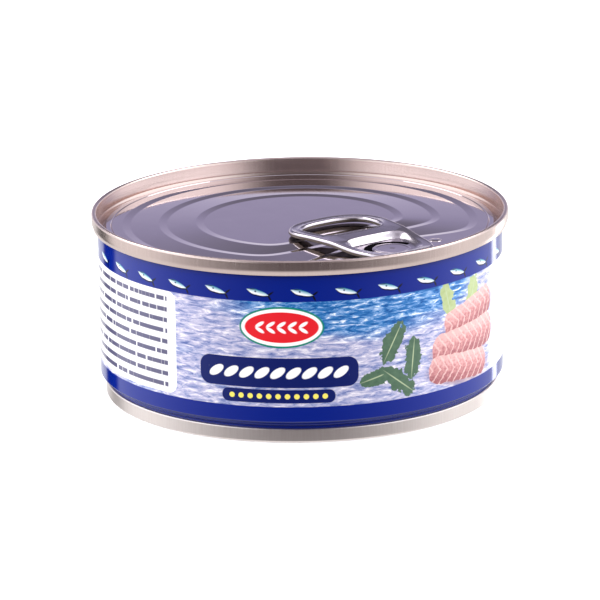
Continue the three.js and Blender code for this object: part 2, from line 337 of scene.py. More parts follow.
def base_piece():
    """Base end: the seam that the can stands on, a groove and a stepped panel underneath."""
    return spin_profile("base", rounded([
        (0, BASE_CENTRE_HEIGHT, 0),
        (BASE_STEP_RADII[0], BASE_CENTRE_HEIGHT, BASE_STEP_EASE),
        (BASE_STEP_RADII[1], BASE_PANEL_HEIGHT, BASE_STEP_EASE),
        (BASE_PANEL_RADIUS, BASE_PANEL_HEIGHT, BASE_PANEL_BEND),
        (BASE_GROOVE_RADII[0], BASE_GROOVE_HEIGHT, BASE_GROOVE_BEND),
        (BASE_GROOVE_RADII[1], BASE_GROOVE_HEIGHT, BASE_GROOVE_BEND),
        (STAND_RADIUS, 0, STAND_INNER_BEND),
        (BASE_SEAM_RADIUS, 0, STAND_OUTER_BEND),
        (BASE_SEAM_RADIUS, BASE_SEAM_TOP, BASE_SEAM_BEND),
        (BASE_COLLAR_RADIUS, BASE_SEAM_TOP, 0),
        (BASE_COLLAR_RADIUS, BASE_SHEET_HEIGHT, 0),
        (0, BASE_SHEET_HEIGHT, 0),
    ]))


def round_piece_on_lid(name, profile, along, across):
    """A small spun piece moved to its place on the lid, beside the pull."""
    piece = spin_profile(name, profile)
    place = PULL_ALONG * along + PULL_ACROSS * across
    bpy.ops.object.mode_set(mode="EDIT")
    bpy.ops.mesh.select_all(action="SELECT")
    bpy.ops.transform.translate(value=(place.x * MM, place.y * MM, 0))
    bpy.ops.object.mode_set(mode="OBJECT")
    return piece


def rivet_piece():
    """Rivet button: a flat head with a pressed ring and a small dimple, over its shank."""
    top = CAN_TOP - RIVET_DEPTH
    foot = CAN_TOP - PANEL_DEPTH - TUCK
    return round_piece_on_lid("rivet", rounded([
        (0, foot, 0),
        (RIVET_SHANK_RADIUS, foot, 0),
        (RIVET_SHANK_RADIUS, top - RIVET_THICKNESS, 0),
        (RIVET_RADIUS, top - RIVET_THICKNESS, 0),
        (RIVET_RADIUS, top, RIVET_EDGE_BEND),
        (RIVET_RADIUS - RIVET_RIM_INSETS[0], top, RIVET_BEND),
        (RIVET_RADIUS - RIVET_RIM_INSETS[1], top - RIVET_RIM_DROP, RIVET_BEND),
        (RIVET_DIMPLE_RADII[0], top - RIVET_RIM_DROP, RIVET_BEND),
        (RIVET_DIMPLE_RADII[1], top - RIVET_DIMPLE_DROP, RIVET_DIMPLE_BEND),
        (0, top - RIVET_DIMPLE_DROP, 0),
    ]), RIVET_PLACE, 0)


def stop_piece(name, side):
    """Low dome on the panel that keeps the pull from turning."""
    panel = CAN_TOP - PANEL_DEPTH
    return round_piece_on_lid(name, rounded([
        (0, panel - TUCK, 0),
        (STOP_RADIUS, panel - TUCK, 0),
        (STOP_RADIUS * STOP_FLANK_SHARES[0], panel + STOP_HEIGHT * STOP_FLANK_SHARES[1], STOP_FLANK_BEND),
        (STOP_RADIUS * STOP_CROWN_SHARE, panel + STOP_HEIGHT, STOP_CROWN_BEND),
        (0, panel + STOP_HEIGHT, 0),
    ]), STOP_PLACE[0], side * STOP_PLACE[1])


def smooth_step(start, end, value):
    share = min(1, max(0, (value - start) / (end - start)))
    return share * share * (3 - 2 * share)


def pull_depth(s):
    """Depth of the pull's upper face below the seam's crest: arched ring, dropped nose."""
    arch = PULL_ARCH * smooth_step(*PULL_ARCH_RUN, s)
    return PULL_RING_DEPTH - arch + PULL_NOSE_DROP * smooth_step(*PULL_NOSE_RUN, s)


def outline(form):
    """Points of an outline that is fullest at one place and rounds off at both ends."""
    points = []
    for i in range(form["points"]):
        along = cos(2 * pi * i / form["points"])
        across = sin(2 * pi * i / form["points"])
        power = form["powers"][0] if along < 0 else form["powers"][1]
        size = (abs(along) ** power + abs(across) ** power) ** (-1 / power)
        reach = form["widest"] - form["start"] if along < 0 else form["end"] - form["widest"]
        half = form["half"] - form["taper"] * max(0, size * along)
        points.append(Vector((form["widest"] + reach * size * along, half * size * across)))
    return points


def slot_outline():
    """Points of the C-shaped slot on the ring side of the rivet."""
    points = []
    for radius, way in ((SLOT_RADII[1], 1), (SLOT_RADII[0], -1)):
        for i in range(SLOT_POINTS):
            angle = pi + way * SLOT_HALF_ANGLE * (2 * i / (SLOT_POINTS - 1) - 1)
            points.append(Vector((RIVET_PLACE + radius * cos(angle), radius * sin(angle))))
    return points


def inset(points, distance):
    """An outline moved inwards by a distance, square to its own line."""
    moved = []
    for i, point in enumerate(points):
        run = (points[(i + 1) % len(points)] - points[i - 1]).normalized()
        moved.append(point + Vector((-run.y, run.x)) * distance)
    return moved


def draw_ring(points, depths):
    """Adds a ring of points on the pull, at depths below the crest; gives its point numbers."""
    bpy.ops.mesh.select_all(action="DESELECT")
    bpy.ops.mesh.primitive_circle_add(vertices=len(points), radius=MM)
    mesh = bmesh.from_edit_mesh(bpy.context.edit_object.data)
    ring = [vertex for vertex in mesh.verts if vertex.select]
    for vertex, point, depth in zip(ring, points, depths):
        place = PULL_ALONG * point.x + PULL_ACROSS * point.y
        vertex.co = Vector((place.x, place.y, CAN_TOP - depth)) * MM
    mesh.verts.index_update()
    bmesh.update_edit_mesh(bpy.context.edit_object.data)
    return [vertex.index for vertex in ring]


def select_rings(*rings):
    bpy.ops.mesh.select_all(action="DESELECT")
    mesh = bmesh.from_edit_mesh(bpy.context.edit_object.data)
    mesh.verts.ensure_lookup_table()
    for ring in rings:
        for number in ring:
            mesh.verts[number].select = True
    mesh.select_flush_mode()
    bmesh.update_edit_mesh(bpy.context.edit_object.data)


def bridge_rings(rings):
    for first, second in zip(rings, rings[1:]):
        select_rings(first, second)
        bpy.ops.mesh.bridge_edge_loops()


def rolled_edge(points, inwards):
    """Rings of a curled edge, from the underside round to the sheet; inwards is 1, or -1 in a hole."""
    rings = []
    for angle in range(ROLL_START_ANGLE, ROLL_INNER_ANGLE + 1, ROLL_STEP):
        shift = inwards * ROLL_RADIUS * (1 - cos(radians(angle)))
        drop = ROLL_RADIUS * (1 - sin(radians(angle)))
        line = inset(points, shift)
        rings.append(draw_ring(line, [pull_depth(point.x) + drop for point in line]))
    bridge_rings(rings)
    return rings


def pressed_pocket():
    """Rings of the dish round the rivet: eased rim, sloping wall and flat floor."""
    rim = outline(POCKET_RIM)
    sheet_drop = ROLL_RADIUS * (1 - sin(radians(ROLL_INNER_ANGLE)))
    rings = []
    for i in range(POCKET_WALL_STEPS + 1):
        share = i / POCKET_WALL_STEPS
        line = inset(rim, POCKET_WALL_RUN * share)
        sunk = smooth_step(0, 1, share)
        sheet = [pull_depth(point.x) + sheet_drop for point in line]
        rings.append(draw_ring(line, [d + (POCKET_FLOOR_DEPTH - d) * sunk for d in sheet]))
    bridge_rings(rings)
    return rings


def fill_between(*rings):
    select_rings(*rings)
    bpy.ops.mesh.fill(use_beauty=True)


def pull_piece():
    """Ring pull: curled outer edge and finger hole, a web between them and a pocket with a slot."""
    piece = begin_piece("pull")
    bpy.ops.mesh.delete(type="VERT")
    edge = rolled_edge(outline(PULL_OUTLINE), 1)
    hole = rolled_edge(outline(FINGER_HOLE), -1)
    pocket = pressed_pocket()
    slot_line = slot_outline()
    slot = []
    for depth in (POCKET_FLOOR_DEPTH, POCKET_FLOOR_DEPTH + SLOT_DEPTH):
        slot.append(draw_ring(slot_line, [depth] * len(slot_line)))
    bridge_rings(slot)
    fill_between(edge[-1], hole[-1], pocket[0])
    fill_between(pocket[-1], slot[0])
    # Closed floor of the slot, which carries the painted shade of the slot.
    fill_between(slot[1])
    fill_between(edge[0], hole[0])
    close_piece()
    return piece


def finish_lid(lid):
    """Gives the inner wall and the panel of the lid their own finishes, the second and the third."""
    for face in lid.data.polygons:
        radius = hypot(face.center.x, face.center.y) / MM
        inside = radius < LID_SEAM_RADIUS - SEAM_THICKNESS / 2
        if radius < PANEL_RADIUS + PANEL_FINISH_OVERLAP:
            face.material_index = 2
        elif inside and face.center.z < (CAN_TOP - SEAM_CREST) * MM:
            face.material_index = 1


def finish_base(base):
    """Gives the panel inside the base seam its own finish, the second."""
    for face in base.data.polygons:
        if hypot(face.center.x, face.center.y) < BASE_GROOVE_EDGE * MM:
            face.material_index = 1


def finish_pull(pull):
    """Gives the pull its painted shade. The second finish, a darkened tinplate, goes on the faces turned
    downwards as painted shade under the pull. The third, near-black, goes in the slot as painted shade of its
    opening.
    """
    rivet = PULL_ALONG * RIVET_PLACE * MM
    for face in pull.data.polygons:
        near = (face.center.xy - rivet).length < (SLOT_RADII[1] + TUCK) * MM
        sunk = CAN_TOP - face.center.z / MM - POCKET_FLOOR_DEPTH
        # Walls and floor of the slot get the painted shade of the slot.
        if near and SLOT_DEPTH / 4 < sunk < SLOT_DEPTH * 1.1:
            face.material_index = 2
        # Faces turned downwards get the painted shade under the pull.
        elif face.normal.z < UNDERSIDE_FACING:
            face.material_index = 1


# Finishes

def linear(code):
    """An sRGB hex colour as linear red, green, blue and alpha."""
    channels = [int(code[i:i + 2], 16) / 255 for i in (1, 3, 5)]
    return (*[c / 12.92 if c <= 0.04045 else ((c + 0.055) / 1.055) ** 2.4 for c in channels], 1.0)


def add(tree, kind, inputs, **settings):
    """Adds one node, sets it up and links it; a node given as an input gives its first output."""
    node = tree.nodes.new(kind)
    for name, value in settings.items():
        setattr(node, name, value)
    for name, value in inputs.items():
        named = [socket for socket in node.inputs if socket.enabled and socket.name == name]
        socket = named[0] if named else node.inputs[name]
        if isinstance(value, bpy.types.Node):
            value = [output for output in value.outputs if output.enabled][0]
        if isinstance(value, bpy.types.NodeSocket):
            tree.links.new(value, socket)
        else:
            socket.default_value = value
    return node


def begin_material(name):
    material = bpy.data.materials.new(name)
    material.use_nodes = True
    material.node_tree.nodes.clear()
    return material, material.node_tree


def wall_place(tree):
    """A flat place in millimetres: round the wall from the front, and up from the ground."""
    place = add(tree, "ShaderNodeTexCoord", {})
    axes = add(tree, "ShaderNodeSeparateXYZ", {"Vector": place.outputs["Object"]})
    front = add(tree, "ShaderNodeMath", {0: axes.outputs["Y"], 1: -1.0}, operation="MULTIPLY")
    angle = add(tree, "ShaderNodeMath", {0: axes.outputs["X"], 1: front}, operation="ARCTAN2")
    flat = add(tree, "ShaderNodeCombineXYZ", {"X": angle, "Y": axes.outputs["Z"]})
    return add(tree, "ShaderNodeVectorMath", {0: flat, 1: (BODY_RADIUS, 1 / MM, 0)}, operation="MULTIPLY")


# The print: places and sizes in millimetres, round the wall from the front and up from the ground
PRINT_EDGE = 0.06
BAND_INK = linear("#001C7C")
NAVY_INK = linear("#0B1A5E")
PAPER_WHITE = linear("#F6F4F7")
DEEP_GREEN = ("#3A5546", "#5F7A62")
PALE_GREEN = ("#8E9F62", "#B9C49A")
TOP_BAND = (29.8, 36.0)
BOTTOM_BAND = (2.0, 7.9)
BAND_HALF_LENGTH = 200
BAND_CORNER = 0.1
RIPPLE_SIZE = (3.4, 0.8)
SWELL_SIZE = (16, 5)
BLUE_WATER_PLACE = (13, 31)
BLUE_WATER_SIZE = (26, 8.5)
WHITE_BACK_FADE = (47, 54)
FISH_PITCH = 8.93
FISH_FIRST = (0.47, 31.65)
FISH_TILT = -15
INFO_PANEL_PLACE = (-61.0, 19.2)
INFO_PANEL_HALF = (33.8, 10.7)
INFO_PANEL_CORNER = 2.0
INFO_PANEL_MARGIN = 2.2
INFO_PANEL_ROWS = 9
BACK_TEXT_PLACE = 92.0
BACK_TEXT_HALF_WIDTH = 26.0
BACK_TEXT_ROWS = 7
TEXT_MIDDLE_ROW = 8
TEXT_ROW_PITCH = 2.25
TEXT_DASH = 1.1
FIELD_CORNER = 0.3
BADGE_PLACE = (-4.0, 24.5)
BADGE_RINGS = [((8.6, 4.3), "#16806B"), ((8.2, 3.9), "#FFFFFF"), ((7.5, 3.2), "#E0222C")]
BADGE_FIELD = (5.5, 2.6)
BADGE_ROWS = [(25.1, 32), (23.9, -32)]
BADGE_OVAL = (1.0, 0.36)
BADGE_OVAL_PITCH = 2.2
BANNER_PLACE = (-4.9, 15.0)
BANNER_HALF = (16.4, 3.1)
BANNER_CORNER = 2.2
BANNER_FIELD = (14.4, 2.2)
BANNER_OVAL = (1.75, 0.86)
BANNER_OVAL_PITCH = 3.2
BANNER_OVAL_TILT = 34
DOT_BAR_PLACE = (-4.9, 10.1)
DOT_BAR_HALF = (11.6, 1.4)
DOT_BAR_CORNER = 1.3
DOT_BAR_FIELD = (10.3, 1.2)
DOT_SIZE = (0.55, 0.55)
DOT_PITCH = 1.9
LEAVES = [
    {"place": (19.0, 20.0), "length": 4.6, "turn": 62, "inks": DEEP_GREEN},
    {"place": (15.6, 13.2), "length": 4.2, "turn": 15, "inks": DEEP_GREEN},
    {"place": (20.4, 11.6), "length": 4.6, "turn": -38, "inks": DEEP_GREEN},
    {"place": (23.6, 16.0), "length": 4.4, "turn": 84, "inks": DEEP_GREEN},
    {"place": (41.0, 26.0), "length": 4.4, "turn": 70, "inks": PALE_GREEN},
    {"place": (33.0, 26.2), "length": 4.0, "turn": 105, "inks": PALE_GREEN},
]
LEAF_SLENDERNESS = 0.45
LEAF_MOTTLE_SIZE = 1.25
LEAF_RUFFLE = (1.5, 2.6)
MIDRIB_SHARE = 0.75
MIDRIB_HALF_WIDTH = 0.12
FILLETS = [
    {"place": (40.5, 22.2), "half": (8.6, 3.1), "turn": 12},
    {"place": (39.0, 16.8), "half": (10.4, 3.3), "turn": 4},
    {"place": (37.0, 11.6), "half": (9.4, 2.9), "turn": -5},
]
FILLET_SHADOW_SHIFT = (0.4, -0.7)
FILLET_GRIT_SIZE = 0.625
FILLET_RUFFLE = (1.2, 0.7)
FILLET_ROUNDNESS = 0.8
FLAKE_PITCH = 2.1
SEAM_STRIP_HALF_WIDTH = 2.6
VARNISH_DUST_PER_MM = 0.9

# The metals' patterns in millimetres
SEAM_MARK_SIZE = (0.35, 6.0)
SEAM_MARK_DEPTH = 0.02
LACQUER_CLOUD_SIZE = 6.25
LACQUER_SPECKS_PER_MM = 0.42
ROLLING_GRAIN_SIZE = (6, 0.5, 2)


def oval(tree, flat, place, size, turn=0.0):
    """1 inside an oval, 0 outside, with an edge as soft as a print's."""
    local = add(tree, "ShaderNodeMapping", {
        "Vector": flat, "Location": (*place, 0), "Rotation": (0, 0, radians(turn)), "Scale": (*size, 1),
    }, vector_type="TEXTURE")
    reach = add(tree, "ShaderNodeVectorMath", {0: local}, operation="LENGTH")
    soft = PRINT_EDGE / min(size)
    return add(tree, "ShaderNodeMapRange", {"Value": reach, "From Min": 1 + soft, "From Max": 1 - soft})


def bar(tree, flat, place, half, corner, turn=0.0):
    """1 inside a bar with rounded corners, 0 outside."""
    local = add(tree, "ShaderNodeMapping", {
        "Vector": flat, "Location": (*place, 0), "Rotation": (0, 0, radians(turn)),
    }, vector_type="TEXTURE")
    quarter = add(tree, "ShaderNodeVectorMath", {0: local}, operation="ABSOLUTE")
    core = (half[0] - corner, half[1] - corner, 0)
    past = add(tree, "ShaderNodeVectorMath", {0: quarter, 1: core}, operation="SUBTRACT")
    outside = add(tree, "ShaderNodeVectorMath", {0: past, 1: (0, 0, 0)}, operation="MAXIMUM")
    reach = add(tree, "ShaderNodeVectorMath", {0: outside}, operation="LENGTH")
    return add(tree, "ShaderNodeMapRange", {
        "Value": reach, "From Min": corner + PRINT_EDGE, "From Max": corner - PRINT_EDGE,
    })


def in_a_row(tree, flat, first, pitch, turn=0.0):
    """Places folded so that one motif repeats along the wall, with that motif's middle at zero."""
    axes = add(tree, "ShaderNodeSeparateXYZ", {"Vector": flat})
    from_first = add(tree, "ShaderNodeMath", {0: axes.outputs["X"], 1: first[0]}, operation="SUBTRACT")
    folded = add(tree, "ShaderNodeMath", {0: from_first, 1: pitch / 2, 2: -pitch / 2}, operation="WRAP")
    height = add(tree, "ShaderNodeMath", {0: axes.outputs["Y"], 1: first[1]}, operation="SUBTRACT")
    place = add(tree, "ShaderNodeCombineXYZ", {"X": folded, "Y": height})
    return add(tree, "ShaderNodeMapping", {
        "Vector": place, "Rotation": (0, 0, radians(turn)),
    }, vector_type="TEXTURE")


def lay_ink(tree, ground, ink, *masks):
    """Prints an ink over the ground wherever all of the masks are 1."""
    mask = masks[0]
    for other in masks[1:]:
        mask = add(tree, "ShaderNodeMath", {0: mask, 1: other}, operation="MULTIPLY")
    return add(tree, "ShaderNodeMix", {"Factor": mask, "A": ground, "B": ink}, data_type="RGBA")


def shades(tree, value, *stops):
    """A run of ink shades along a value, given as places and colours."""
    ramp = add(tree, "ShaderNodeValToRGB", {"Fac": value})
    for i, (place, shade) in enumerate(stops):
        stop = ramp.color_ramp.elements[i] if i < 2 else ramp.color_ramp.elements.new(place)
        stop.position = place
        stop.color = linear(shade)
    return ramp


def print_sea(tree, flat):
    """Rippled water: long flat ripples, pale lilac at the left, blue with white crests at the upper right."""
    ripple_place = add(tree, "ShaderNodeMapping", {
        "Vector": flat, "Scale": (1 / RIPPLE_SIZE[0], 1 / RIPPLE_SIZE[1], 1),
    })
    ripples = add(tree, "ShaderNodeTexNoise", {
        "Vector": ripple_place, "Scale": 1.0, "Detail": 6.0, "Roughness": 0.7, "Distortion": 0.5,
    })
    pale = shades(tree, ripples, (0.36, "#5C6BA2"), (0.45, "#969CC4"), (0.54, "#BDB9D2"), (0.64, "#EFEBF2"))
    blue = shades(tree, ripples, (0.36, "#0D4488"), (0.48, "#2F72B4"), (0.57, "#86ABD8"), (0.64, "#F2F5FA"))
    swell_place = add(tree, "ShaderNodeMapping", {
        "Vector": flat, "Scale": (1 / SWELL_SIZE[0], 1 / SWELL_SIZE[1], 1),
    })
    swell = add(tree, "ShaderNodeTexNoise", {"Vector": swell_place, "Scale": 1.0, "Detail": 2.0})
    deep_place = add(tree, "ShaderNodeMapping", {
        "Vector": flat, "Location": (*BLUE_WATER_PLACE, 0), "Scale": (*BLUE_WATER_SIZE, 1),
    }, vector_type="TEXTURE")
    reach = add(tree, "ShaderNodeVectorMath", {0: deep_place}, operation="LENGTH")
    deep = add(tree, "ShaderNodeMapRange", {
        "Value": reach.outputs["Value"], "From Min": 1.3, "From Max": 0.5, "To Min": -0.25, "To Max": 0.85,
    })
    spread = add(tree, "ShaderNodeMath", {0: swell, 1: deep}, operation="ADD")
    depth = add(tree, "ShaderNodeMapRange", {"Value": spread, "From Min": 0.35, "From Max": 0.75})
    return lay_ink(tree, pale, blue, depth)


def lens(tree, flat, place, half):
    """Two masks that together leave a shape with pointed ends, as a fish's body."""
    radius = (half[0] ** 2 + half[1] ** 2) / (2 * half[1])
    rise = radius - half[1]
    return [oval(tree, flat, (place[0], place[1] + side * rise), (radius, radius)) for side in (1, -1)]


def print_fish_row(tree, ground, flat):
    """A row of small fish along the top band, heads up and to the left, with a dark shadow under each."""
    fish = in_a_row(tree, flat, FISH_FIRST, FISH_PITCH, FISH_TILT)
    for place, size, turn in (((2.3, 0.42), (0.75, 0.2), 52), ((2.3, -0.4), (0.75, 0.2), -48)):
        ground = lay_ink(tree, ground, linear("#050A20"), oval(tree, fish, place, size, turn))
    for place, half in (((-0.15, -0.2), (2.3, 0.6)), ((-0.85, -0.22), (1.5, 0.62))):
        ground = lay_ink(tree, ground, linear("#020A38"), *lens(tree, fish, place, half))
    axes = add(tree, "ShaderNodeSeparateXYZ", {"Vector": fish})
    flank = shades(tree, add(tree, "ShaderNodeMapRange", {
        "Value": axes.outputs["Y"], "From Min": -0.65, "From Max": 0.65,
    }), (0.0, "#D9D3EC"), (0.25, "#F7F8FB"), (0.6, "#A9C9D6"), (0.85, "#2F7C96"))
    for place, half in (((-0.3, 0.0), (2.3, 0.52)), ((-0.95, 0.0), (1.45, 0.58))):
        ground = lay_ink(tree, ground, flank, *lens(tree, fish, place, half))
    ground = lay_ink(tree, ground, linear("#12224A"), oval(tree, fish, (-0.75, 0.08), (0.2, 0.17)))
    return lay_ink(tree, ground, linear("#1C3050"), oval(tree, fish, (-1.5, 0.36), (0.75, 0.12), 14))


def print_text_rows(tree, ground, flat, count, centre, half_width):
    """Rows of short thin dashes that stand for small print."""
    axes = add(tree, "ShaderNodeSeparateXYZ", {"Vector": flat})
    rows = add(tree, "ShaderNodeMath", {0: axes.outputs["Y"], 1: TEXT_ROW_PITCH}, operation="DIVIDE")
    row = add(tree, "ShaderNodeMath", {0: rows}, operation="FLOOR")
    within = add(tree, "ShaderNodeMath", {0: rows}, operation="FRACT")
    middle = add(tree, "ShaderNodeMath", {0: within, 1: 0.5}, operation="SUBTRACT")
    off_line = add(tree, "ShaderNodeMath", {0: middle}, operation="ABSOLUTE")
    line = add(tree, "ShaderNodeMapRange", {"Value": off_line, "From Min": 0.27, "From Max": 0.17})
    along = add(tree, "ShaderNodeMath", {0: axes.outputs["X"], 1: TEXT_DASH}, operation="DIVIDE")
    word = add(tree, "ShaderNodeCombineXYZ", {"X": along, "Y": row})
    words = add(tree, "ShaderNodeTexNoise", {"Vector": word, "Scale": 1.0, "Detail": 1.0})
    dashes = add(tree, "ShaderNodeMapRange", {"Value": words, "From Min": 0.36, "From Max": 0.42})
    height = (TEXT_MIDDLE_ROW + 0.5) * TEXT_ROW_PITCH
    area = bar(tree, flat, (centre, height), (half_width, count / 2 * TEXT_ROW_PITCH), FIELD_CORNER)
    return lay_ink(tree, ground, linear("#575570"), line, dashes, area)


def print_info_panel(tree, ground, flat):
    """White panel with rounded corners and rows of dashes."""
    panel = bar(tree, flat, INFO_PANEL_PLACE, INFO_PANEL_HALF, INFO_PANEL_CORNER)
    ground = lay_ink(tree, ground, PAPER_WHITE, panel)
    half_width = INFO_PANEL_HALF[0] - INFO_PANEL_MARGIN
    return print_text_rows(tree, ground, flat, INFO_PANEL_ROWS, INFO_PANEL_PLACE[0], half_width)


def print_badge(tree, ground, flat):
    """Plain oval badge: teal line, white ring, red field and two rows of slanted white ovals."""
    for size, ink in BADGE_RINGS:
        ground = lay_ink(tree, ground, linear(ink), oval(tree, flat, BADGE_PLACE, size))
    field = bar(tree, flat, BADGE_PLACE, BADGE_FIELD, FIELD_CORNER)
    for height, turn in BADGE_ROWS:
        row = in_a_row(tree, flat, (BADGE_PLACE[0], height), BADGE_OVAL_PITCH, turn)
        ground = lay_ink(tree, ground, PAPER_WHITE, oval(tree, row, (0, 0), BADGE_OVAL), field)
    return ground


def print_banner(tree, ground, flat):
    """Navy bar with a row of slanted white ovals, and a smaller bar with yellow dots below it."""
    ground = lay_ink(tree, ground, NAVY_INK, bar(tree, flat, BANNER_PLACE, BANNER_HALF, BANNER_CORNER))
    row = in_a_row(tree, flat, BANNER_PLACE, BANNER_OVAL_PITCH, BANNER_OVAL_TILT)
    field = bar(tree, flat, BANNER_PLACE, BANNER_FIELD, FIELD_CORNER)
    ground = lay_ink(tree, ground, PAPER_WHITE, oval(tree, row, (0, 0), BANNER_OVAL), field)
    ground = lay_ink(tree, ground, NAVY_INK, bar(tree, flat, DOT_BAR_PLACE, DOT_BAR_HALF, DOT_BAR_CORNER))
    dots = in_a_row(tree, flat, DOT_BAR_PLACE, DOT_PITCH)
    field = bar(tree, flat, DOT_BAR_PLACE, DOT_BAR_FIELD, FIELD_CORNER)
    return lay_ink(tree, ground, linear("#F4E46A"), oval(tree, dots, (0, 0), DOT_SIZE), field)


def ruffled(tree, flat, size, reach):
    """Places shifted to and fro, so that a motif printed on them gets an uneven outline."""
    ruffle = add(tree, "ShaderNodeTexNoise", {"Vector": flat, "Scale": 1 / size, "Detail": 2.0})
    centred = add(tree, "ShaderNodeVectorMath", {
        0: ruffle.outputs["Color"], 1: (0.5, 0.5, 0.5),
    }, operation="SUBTRACT")
    shift = add(tree, "ShaderNodeVectorMath", {0: centred, "Scale": reach}, operation="SCALE")
    return add(tree, "ShaderNodeVectorMath", {0: flat, 1: shift}, operation="ADD")


def print_leaf(tree, ground, flat, place, length, turn, inks):
    """Ragged oval leaf, mottled, with a pale midrib."""
    mottle = add(tree, "ShaderNodeTexNoise", {"Vector": flat, "Scale": 1 / LEAF_MOTTLE_SIZE, "Detail": 4.0})
    tone = add(tree, "ShaderNodeMix", {
        "Factor": mottle, "A": linear(inks[0]), "B": linear(inks[1]),
    }, data_type="RGBA")
    ragged = ruffled(tree, flat, *LEAF_RUFFLE)
    blade = oval(tree, ragged, place, (length, length * LEAF_SLENDERNESS), turn)
    ground = lay_ink(tree, ground, tone, blade)
    midrib = oval(tree, flat, place, (length * MIDRIB_SHARE, MIDRIB_HALF_WIDTH), turn)
    return lay_ink(tree, ground, linear("#AEBB98"), midrib)


def print_fillet(tree, ground, flat, place, half, turn):
    """Rounded fillet of fish: soft shadow, rosy flesh that deepens downwards, and pale bent flake lines."""
    local = add(tree, "ShaderNodeMapping", {
        "Vector": flat, "Location": (*place, 0), "Rotation": (0, 0, radians(turn)),
    }, vector_type="TEXTURE")
    axes = add(tree, "ShaderNodeSeparateXYZ", {"Vector": local})
    fallen = add(tree, "ShaderNodeMapping", {
        "Vector": local, "Location": (*FILLET_SHADOW_SHIFT, 0), "Scale": (*half, 1),
    }, vector_type="TEXTURE")
    shade = add(tree, "ShaderNodeMapRange", {
        "Value": add(tree, "ShaderNodeVectorMath", {0: fallen}, operation="LENGTH"),
        "From Min": 1.2, "From Max": 0.9, "To Max": 0.7,
    })
    ground = lay_ink(tree, ground, linear("#8E6E78"), shade)
    grit = add(tree, "ShaderNodeTexNoise", {"Vector": flat, "Scale": 1 / FILLET_GRIT_SIZE, "Detail": 4.0})
    depth = add(tree, "ShaderNodeMath", {0: axes.outputs["Y"], 1: -0.14, 2: grit}, operation="MULTIPLY_ADD")
    flesh = shades(tree, depth, (0.2, "#D6A6A4"), (0.5, "#BC8082"), (0.8, "#985A60"))
    across = add(tree, "ShaderNodeMath", {0: axes.outputs["Y"]}, operation="ABSOLUTE")
    bent = add(tree, "ShaderNodeMath", {0: across, 1: 0.8, 2: axes.outputs["X"]}, operation="MULTIPLY_ADD")
    uneven = add(tree, "ShaderNodeMath", {0: grit, 1: 1.2, 2: bent}, operation="MULTIPLY_ADD")
    waves = add(tree, "ShaderNodeMath", {0: uneven, 1: 2 * pi / FLAKE_PITCH}, operation="MULTIPLY")
    crest = add(tree, "ShaderNodeMath", {0: waves}, operation="SINE")
    flakes = add(tree, "ShaderNodeMapRange", {
        "Value": crest, "From Min": 0.65, "From Max": 1.0, "To Max": 0.6,
    })
    flesh = lay_ink(tree, flesh, linear("#E6C8C4"), flakes)
    ragged = ruffled(tree, flat, *FILLET_RUFFLE)
    body = bar(tree, ragged, place, half, half[1] * FILLET_ROUNDNESS, turn)
    return lay_ink(tree, ground, flesh, body)


def printed_tinplate():
    """Litho-printed tinplate under stoving varnish: flat inks seen through a sharp clear gloss."""
    material, tree = begin_material("litho-printed tinplate")
    flat = wall_place(tree)
    axes = add(tree, "ShaderNodeSeparateXYZ", {"Vector": flat})
    ground = print_sea(tree, flat)
    fade = add(tree, "ShaderNodeMapRange", {
        "Value": axes.outputs["X"], "From Min": WHITE_BACK_FADE[0], "From Max": WHITE_BACK_FADE[1],
    })
    ground = lay_ink(tree, ground, PAPER_WHITE, fade)
    for leaf in LEAVES:
        ground = print_leaf(tree, ground, flat, **leaf)
    for fillet in FILLETS:
        ground = print_fillet(tree, ground, flat, **fillet)
    ground = print_info_panel(tree, ground, flat)
    ground = print_text_rows(tree, ground, flat, BACK_TEXT_ROWS, BACK_TEXT_PLACE, BACK_TEXT_HALF_WIDTH)
    ground = print_badge(tree, ground, flat)
    ground = print_banner(tree, ground, flat)
    for low, high in (TOP_BAND, BOTTOM_BAND):
        half = (BAND_HALF_LENGTH, (high - low) / 2)
        band = bar(tree, flat, (0, (low + high) / 2), half, BAND_CORNER)
        ground = lay_ink(tree, ground, BAND_INK, band)
    ground = print_fish_row(tree, ground, flat)
    back = add(tree, "ShaderNodeMath", {0: axes.outputs["X"]}, operation="ABSOLUTE")
    edge = pi * BODY_RADIUS - SEAM_STRIP_HALF_WIDTH
    strip = add(tree, "ShaderNodeMath", {0: back, 1: edge}, operation="GREATER_THAN")
    ground = lay_ink(tree, ground, linear("#B9B2B8"), strip)
    dust = add(tree, "ShaderNodeTexNoise", {"Vector": flat, "Scale": VARNISH_DUST_PER_MM, "Detail": 3.0})
    gloss = add(tree, "ShaderNodeMapRange", {"Value": dust, "To Min": 0.08, "To Max": 0.14})
    shader = add(tree, "ShaderNodeBsdfPrincipled", {
        "Base Color": ground, "Metallic": strip, "Roughness": gloss,
    })
    add(tree, "ShaderNodeOutputMaterial", {"Surface": shader})
    return material


def seam_tinplate(name, dark, pale, smooth, rough):
    """Tinplate of the seams and the inner wall: satin metal with fine upright marks from the rolls."""
    material, tree = begin_material(name)
    flat = wall_place(tree)
    marks_place = add(tree, "ShaderNodeMapping", {
        "Vector": flat, "Scale": (1 / SEAM_MARK_SIZE[0], 1 / SEAM_MARK_SIZE[1], 1),
    })
    marks = add(tree, "ShaderNodeTexNoise", {"Vector": marks_place, "Scale": 1.0, "Detail": 3.0})
    tone = add(tree, "ShaderNodeMix", {
        "Factor": marks, "A": linear(dark), "B": linear(pale),
    }, data_type="RGBA")
    satin = add(tree, "ShaderNodeMapRange", {"Value": marks, "To Min": smooth, "To Max": rough})
    bump = add(tree, "ShaderNodeBump", {
        "Height": marks, "Strength": 0.15, "Distance": SEAM_MARK_DEPTH * MM,
    })
    shader = add(tree, "ShaderNodeBsdfPrincipled", {
        "Base Color": tone, "Metallic": 1.0, "Roughness": satin, "Normal": bump,
    })
    add(tree, "ShaderNodeOutputMaterial", {"Surface": shader})
    return material


